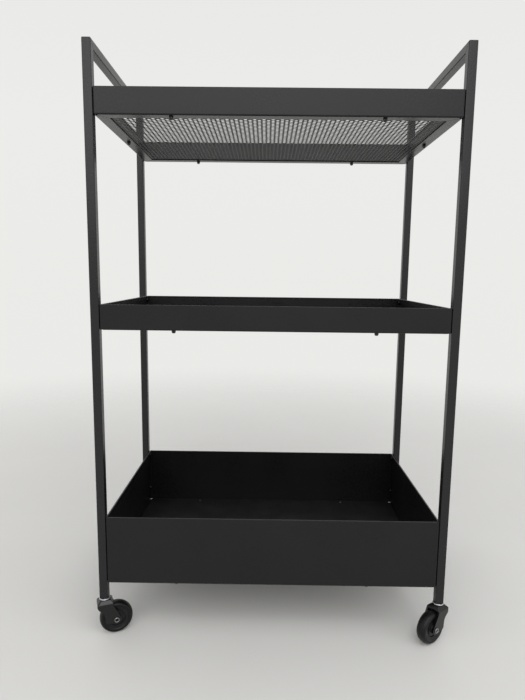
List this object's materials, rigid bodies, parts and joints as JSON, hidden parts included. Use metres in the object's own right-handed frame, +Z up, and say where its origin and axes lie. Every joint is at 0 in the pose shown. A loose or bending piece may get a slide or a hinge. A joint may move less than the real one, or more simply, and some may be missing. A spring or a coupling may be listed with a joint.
{
  "type": "utility trolley",
  "caption": "Tall narrow steel utility trolley with stacked rimmed trays between square-tube side frames, handle bars and swivel casters.",
  "frame": {"origin": "floor level under the centre of the trolley", "axes": "+Z up, +X towards the right side frame seen from the front, +Y from the front to the back"},
  "size_m": [0.5228, 0.343, 0.83],
  "materials": {
    "powder_coat_frame": "satin black powder coat on square steel tube",
    "powder_coat_tray": "satin black powder coat on folded sheet steel",
    "powder_coat_floor": "satin black powder coat on perforated sheet steel",
    "black_peg": "moulded black nylon",
    "dark_screw": "black-passivated steel screw",
    "black_plastic": "moulded black nylon, slightly glossy",
    "wheel_black": "moulded black wheel with a slightly softer, duller tread",
    "zinc_steel": "bright zinc-plated steel"
  },
  "bodies": {
    "trolley": {"left_side_frame": "powder_coat_frame", "right_side_frame": "powder_coat_frame", "top_tray": "powder_coat_tray", "top_shelf_floor": "powder_coat_floor", "top_peg_front_left": "black_peg", "top_peg_front_right": "black_peg", "top_peg_rear_left": "black_peg", "top_peg_rear_right": "black_peg", "top_peg_side_left": "black_peg", "top_peg_side_right": "black_peg", "top_screw_front_left": "dark_screw", "top_screw_rear_left": "dark_screw", "top_screw_front_right": "dark_screw", "top_screw_rear_right": "dark_screw", "middle_tray": "powder_coat_tray", "middle_shelf_floor": "powder_coat_floor", "middle_peg_front_left": "black_peg", "middle_peg_front_right": "black_peg", "middle_peg_rear_left": "black_peg", "middle_peg_rear_right": "black_peg", "middle_peg_side_left": "black_peg", "middle_peg_side_right": "black_peg", "middle_screw_front_left": "dark_screw", "middle_screw_rear_left": "dark_screw", "middle_screw_front_right": "dark_screw", "middle_screw_rear_right": "dark_screw", "bottom_tray": "powder_coat_tray", "bottom_shelf_floor": "powder_coat_floor", "bottom_peg_front_left": "black_peg", "bottom_peg_front_right": "black_peg", "bottom_peg_rear_left": "black_peg", "bottom_peg_rear_right": "black_peg", "bottom_peg_side_left": "black_peg", "bottom_peg_side_right": "black_peg", "bottom_screw_upper_front_left": "dark_screw", "bottom_screw_upper_rear_left": "dark_screw", "bottom_screw_upper_front_right": "dark_screw", "bottom_screw_upper_rear_right": "dark_screw", "bottom_screw_lower_front_left": "dark_screw", "bottom_screw_lower_rear_left": "dark_screw", "bottom_screw_lower_front_right": "dark_screw", "bottom_screw_lower_rear_right": "dark_screw", "caster_stem_front_left": "zinc_steel", "caster_stem_front_right": "zinc_steel", "caster_stem_rear_left": "zinc_steel", "caster_stem_rear_right": "zinc_steel"},
    "fork_front_left": {"caster_fork_front_left": "black_plastic", "caster_axle_front_left": "zinc_steel"},
    "wheel_front_left": {"caster_wheel_front_left": "wheel_black"},
    "fork_front_right": {"caster_fork_front_right": "black_plastic", "caster_axle_front_right": "zinc_steel"},
    "wheel_front_right": {"caster_wheel_front_right": "wheel_black"},
    "fork_rear_left": {"caster_fork_rear_left": "black_plastic", "caster_axle_rear_left": "zinc_steel"},
    "wheel_rear_left": {"caster_wheel_rear_left": "wheel_black"},
    "fork_rear_right": {"caster_fork_rear_right": "black_plastic", "caster_axle_rear_right": "zinc_steel"},
    "wheel_rear_right": {"caster_wheel_rear_right": "wheel_black"}
  },
  "joints": [
    {"name": "swivel_front_left", "type": "hinge", "parent": "trolley", "child": "fork_front_left", "pos_m": [-0.2465, -0.144, 0.0523], "axis": [0, 0, 1], "continuous": true},
    {"name": "roll_front_left", "type": "hinge", "parent": "fork_front_left", "child": "wheel_front_left", "pos_m": [-0.23175, -0.13834, 0.024], "axis": [0.3584, -0.9336, 0], "continuous": true},
    {"name": "swivel_front_right", "type": "hinge", "parent": "trolley", "child": "fork_front_right", "pos_m": [0.2465, -0.144, 0.0523], "axis": [0, 0, 1], "continuous": true},
    {"name": "roll_front_right", "type": "hinge", "parent": "fork_front_right", "child": "wheel_front_right", "pos_m": [0.23364, -0.15318, 0.024], "axis": [-0.5807, 0.8141, 0], "continuous": true},
    {"name": "swivel_rear_left", "type": "hinge", "parent": "trolley", "child": "fork_rear_left", "pos_m": [-0.2465, 0.144, 0.0523], "axis": [0, 0, 1], "continuous": true},
    {"name": "roll_rear_left", "type": "hinge", "parent": "fork_rear_left", "child": "wheel_rear_left", "pos_m": [-0.23364, 0.15318, 0.024], "axis": [0.5807, -0.8141, 0], "continuous": true},
    {"name": "swivel_rear_right", "type": "hinge", "parent": "trolley", "child": "fork_rear_right", "pos_m": [0.2465, 0.144, 0.0523], "axis": [0, 0, 1], "continuous": true},
    {"name": "roll_rear_right", "type": "hinge", "parent": "fork_rear_right", "child": "wheel_rear_right", "pos_m": [0.23175, 0.13834, 0.024], "axis": [-0.3584, 0.9336, 0], "continuous": true}
  ]
}
